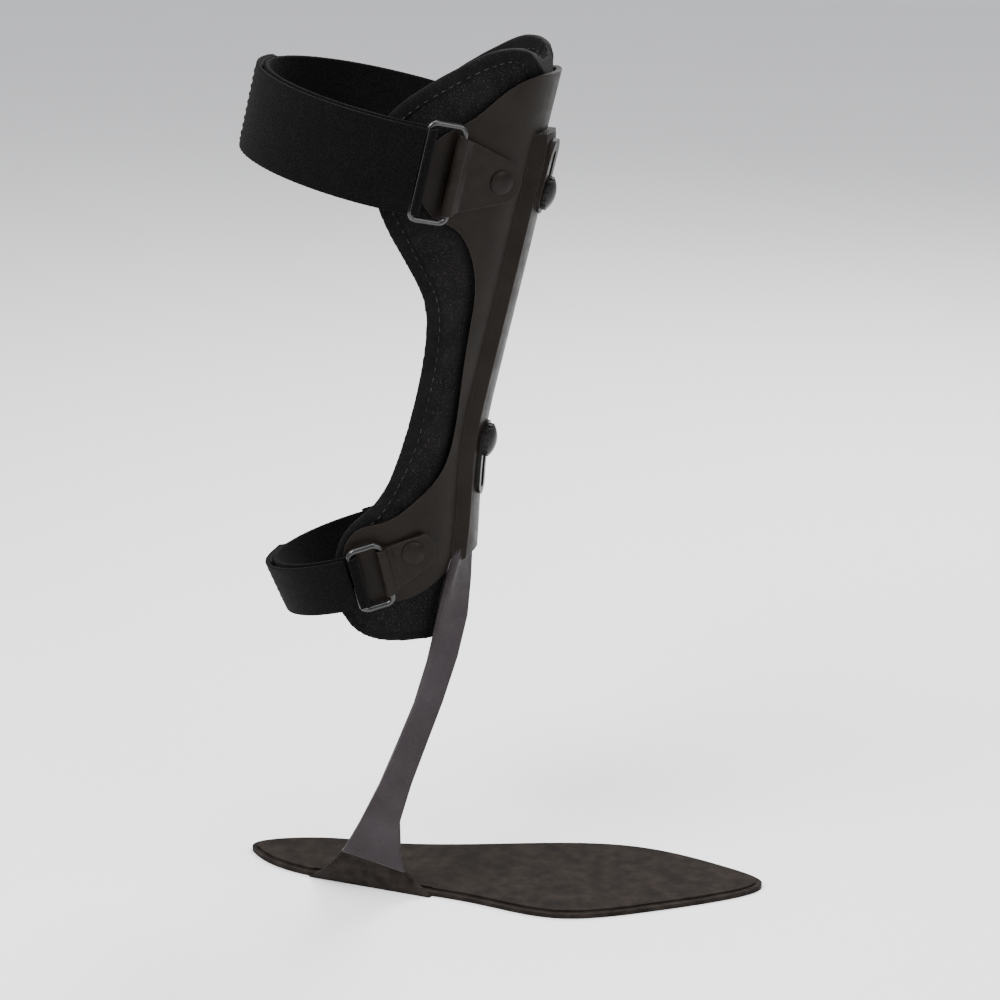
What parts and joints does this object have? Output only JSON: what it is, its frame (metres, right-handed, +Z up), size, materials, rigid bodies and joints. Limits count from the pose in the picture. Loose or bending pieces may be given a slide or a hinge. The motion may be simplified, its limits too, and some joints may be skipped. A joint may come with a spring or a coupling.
{
  "type": "ankle foot orthosis",
  "caption": "Ankle foot orthosis with a padded shin shell and two straps on a springy side strut that rises from a thin foot plate.",
  "frame": {"origin": "on the underside of the foot plate, below the ankle", "axes": "+X to the toes, +Z up the shin, -Y to the outer side of a right leg"},
  "size_m": [0.2586, 0.1257, 0.411],
  "materials": {
    "sole_laminate": "mottled matt laminate",
    "cover": "fine matt lining",
    "strut": "satin dark grey composite",
    "shell": "satin moulded",
    "tab": "satin",
    "rivet": "satin",
    "knob": "semi-gloss moulded",
    "nut": "plated",
    "ring": "gloss black coated wire",
    "liner": "fine knitted cover",
    "binding": "woven binding tape",
    "strap": "loop pile webbing",
    "hook": "hook tape"
  },
  "bodies": {
    "foot": {"foot_plate": "sole_laminate", "plate_cover": "cover"},
    "strut": {"strut": "strut"},
    "shell": {"shell": "shell", "liner": "liner", "liner_binding": "binding", "liner_hook_pads": "hook", "lower_slot_strip": "knob", "tab_washers": "rivet", "upper_clamp_nut": "nut", "lower_clamp_nut": "nut", "upper_outer_rivet": "rivet", "upper_inner_rivet": "rivet", "lower_outer_rivet": "rivet", "lower_inner_rivet": "rivet"},
    "upper_knob": {"upper_knob": "knob"},
    "lower_knob": {"lower_knob": "knob"},
    "upper_strap": {"upper_strap": "strap", "upper_outer_tab": "tab", "upper_inner_tab": "tab"},
    "upper_tail": {"upper_strap_tail": "strap", "upper_hook_patch": "hook"},
    "upper_outer_ring": {"upper_outer_ring": "ring"},
    "upper_inner_ring": {"upper_inner_ring": "ring"},
    "lower_strap": {"lower_strap": "strap", "lower_outer_tab": "tab", "lower_inner_tab": "tab"},
    "lower_tail": {"lower_strap_tail": "strap", "lower_hook_patch": "hook"},
    "lower_outer_ring": {"lower_outer_ring": "ring"},
    "lower_inner_ring": {"lower_inner_ring": "ring"}
  },
  "joints": [
    {"name": "ankle_flex", "type": "hinge", "parent": "foot", "child": "strut", "pos_m": [0.024, 0, 0.105], "axis": [0, 1, 0], "range_deg": [-8, 12], "stiffness_Nm_per_rad": 60, "deforming": ["strut"]},
    {"name": "shell_height", "type": "slide", "parent": "strut", "child": "shell", "axis": [0.2368, 0, 0.9715], "range_m": [0, 0.02]},
    {"name": "upper_knob_turn", "type": "hinge", "parent": "shell", "child": "upper_knob", "pos_m": [0.07103, 0, 0.3426], "axis": [0.9715, 0, -0.2368], "continuous": true},
    {"name": "lower_knob_turn", "type": "hinge", "parent": "shell", "child": "lower_knob", "pos_m": [0.04285, 0, 0.223], "axis": [0.989, 0, -0.1477], "continuous": true},
    {"name": "upper_strap_tilt", "type": "hinge", "parent": "shell", "child": "upper_strap", "pos_m": [0.05637, 0, 0.35157], "axis": [0, 1, 0], "range_deg": [-3, 3]},
    {"name": "upper_tail_peel", "type": "hinge", "parent": "upper_strap", "child": "upper_tail", "pos_m": [0.02509, -0.05812, 0.35971], "axis": [0.2368, 0, 0.9715], "range_deg": [0, 75]},
    {"name": "upper_outer_ring_pivot", "type": "hinge", "parent": "upper_strap", "child": "upper_outer_ring", "pos_m": [0.04, -0.04532, 0.35607], "axis": [0.2368, 0, 0.9715], "range_deg": [-1.5, 1.5]},
    {"name": "upper_inner_ring_pivot", "type": "hinge", "parent": "upper_strap", "child": "upper_inner_ring", "pos_m": [0.04, 0.04532, 0.35607], "axis": [0.2368, 0, 0.9715], "range_deg": [-1.5, 1.5]},
    {"name": "lower_strap_tilt", "type": "hinge", "parent": "shell", "child": "lower_strap", "pos_m": [0.01551, 0, 0.17486], "axis": [0, 1, 0], "range_deg": [-3, 3]},
    {"name": "lower_tail_peel", "type": "hinge", "parent": "lower_strap", "child": "lower_tail", "pos_m": [-0.00976, -0.05226, 0.16242], "axis": [-0.273, -0.1386, 0.952], "range_deg": [0, 75]},
    {"name": "lower_outer_ring_pivot", "type": "hinge", "parent": "lower_strap", "child": "lower_outer_ring", "pos_m": [0.0051, -0.04181, 0.16627], "axis": [-0.2049, -0.1395, 0.9688], "range_deg": [-1.5, 1.5]},
    {"name": "lower_inner_ring_pivot", "type": "hinge", "parent": "lower_strap", "child": "lower_inner_ring", "pos_m": [0.0051, 0.04181, 0.16627], "axis": [-0.2049, 0.1395, 0.9688], "range_deg": [-1.5, 1.5]}
  ]
}
